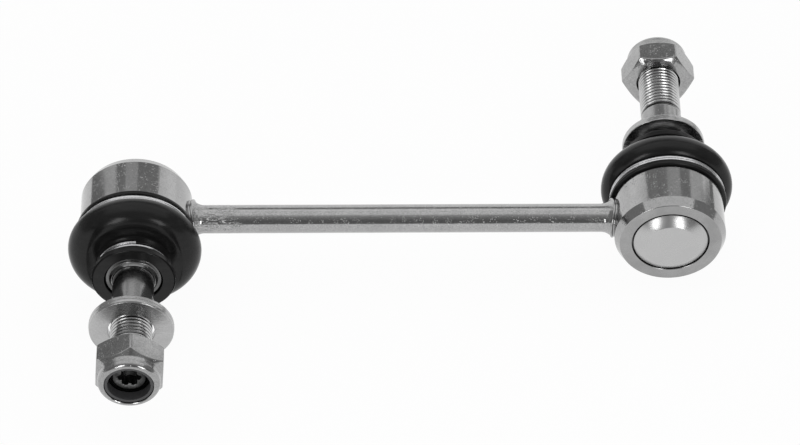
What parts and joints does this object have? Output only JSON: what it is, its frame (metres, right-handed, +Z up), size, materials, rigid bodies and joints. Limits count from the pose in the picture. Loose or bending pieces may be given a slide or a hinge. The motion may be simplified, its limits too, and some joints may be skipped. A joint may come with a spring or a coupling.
{
  "type": "stabilizer link",
  "caption": "Anti-roll bar drop link: a round rod with a ball joint at each end, studs pointing opposite ways, rubber dust boots, washers and lock nuts.",
  "frame": {"origin": "middle of the rod, halfway between the two ball centres", "axes": "+X along the rod to the joint whose stud points to +Y, +Z up from the surface that the boots lie on"},
  "size_m": [0.194, 0.1353, 0.0386],
  "materials": {
    "zinc_steel": "bright zinc plating over turned and pressed steel",
    "ring_steel": "smooth bright spring steel",
    "boot_rubber": "satin black moulded rubber",
    "seat_plastic": "natural acetal",
    "insert_nylon": "black nylon"
  },
  "bodies": {
    "link": {"link_rod": "zinc_steel", "left_housing": "zinc_steel", "left_end_cap": "zinc_steel", "left_bearing_seat": "seat_plastic", "left_boot_band": "ring_steel", "right_housing": "zinc_steel", "right_end_cap": "zinc_steel", "right_bearing_seat": "seat_plastic", "right_boot_band": "ring_steel"},
    "left_boot": {"left_dust_boot": "boot_rubber"},
    "left_boot_top": {"left_boot_wire_ring": "ring_steel"},
    "left_stud": {"left_ball_stud": "zinc_steel"},
    "left_washer": {"left_washer": "zinc_steel"},
    "left_nut_core": {"left_nut_insert": "insert_nylon"},
    "left_nut": {"left_lock_nut": "zinc_steel"},
    "right_boot": {"right_dust_boot": "boot_rubber"},
    "right_boot_top": {"right_boot_wire_ring": "ring_steel"},
    "right_stud": {"right_ball_stud": "zinc_steel"},
    "right_washer": {"right_washer": "zinc_steel"},
    "right_nut_core": {"right_nut_insert": "insert_nylon"},
    "right_nut": {"right_lock_nut": "zinc_steel"}
  },
  "joints": [
    {"name": "left_stud_lift", "type": "hinge", "parent": "link", "child": "left_boot", "pos_m": [-0.07765, 0, 0], "axis": [1, 0, 0], "range_deg": [-18, 18], "deforming": ["left_dust_boot"]},
    {"name": "left_stud_sweep", "type": "hinge", "parent": "left_boot", "child": "left_boot_top", "pos_m": [-0.07765, 0, 0], "axis": [0, 0, 1], "range_deg": [-18, 18], "deforming": ["left_dust_boot"]},
    {"name": "left_stud_spin", "type": "hinge", "parent": "left_boot_top", "child": "left_stud", "pos_m": [-0.07765, 0, 0], "axis": [0, -1, 0], "continuous": true},
    {"name": "left_washer_slide", "type": "slide", "parent": "left_stud", "child": "left_washer", "axis": [0, -1, 0], "range_m": [-0.0172, 0.0005]},
    {"name": "left_nut_travel", "type": "slide", "parent": "left_stud", "child": "left_nut_core", "axis": [0, -1, 0], "range_m": [-0.0088, 0.0076]},
    {"name": "left_nut_turn", "type": "hinge", "parent": "left_nut_core", "child": "left_nut", "pos_m": [-0.07765, -0.05475, 0], "axis": [0, -1, 0], "range_deg": [-2520, 2160]},
    {"name": "right_stud_lift", "type": "hinge", "parent": "link", "child": "right_boot", "pos_m": [0.07765, 0, 0], "axis": [1, 0, 0], "range_deg": [-18, 18], "deforming": ["right_dust_boot"]},
    {"name": "right_stud_sweep", "type": "hinge", "parent": "right_boot", "child": "right_boot_top", "pos_m": [0.07765, 0, 0], "axis": [0, 0, 1], "range_deg": [-18, 18], "deforming": ["right_dust_boot"]},
    {"name": "right_stud_spin", "type": "hinge", "parent": "right_boot_top", "child": "right_stud", "pos_m": [0.07765, 0, 0], "axis": [0, 1, 0], "continuous": true},
    {"name": "right_washer_slide", "type": "slide", "parent": "right_stud", "child": "right_washer", "axis": [0, 1, 0], "range_m": [-0.0036, 0.01]},
    {"name": "right_nut_travel", "type": "slide", "parent": "right_stud", "child": "right_nut_core", "axis": [0, 1, 0], "range_m": [-0.0148, 0.0051]},
    {"name": "right_nut_turn", "type": "hinge", "parent": "right_nut_core", "child": "right_nut", "pos_m": [0.07765, 0.05745, 0], "axis": [0, 1, 0], "range_deg": [-4230, 1440]}
  ],
  "couplings": [
    {"joint": "left_nut_travel", "follows": "left_nut_turn", "m_per_rad": 0.00019894},
    {"joint": "right_nut_travel", "follows": "right_nut_turn", "m_per_rad": 0.00019894}
  ]
}
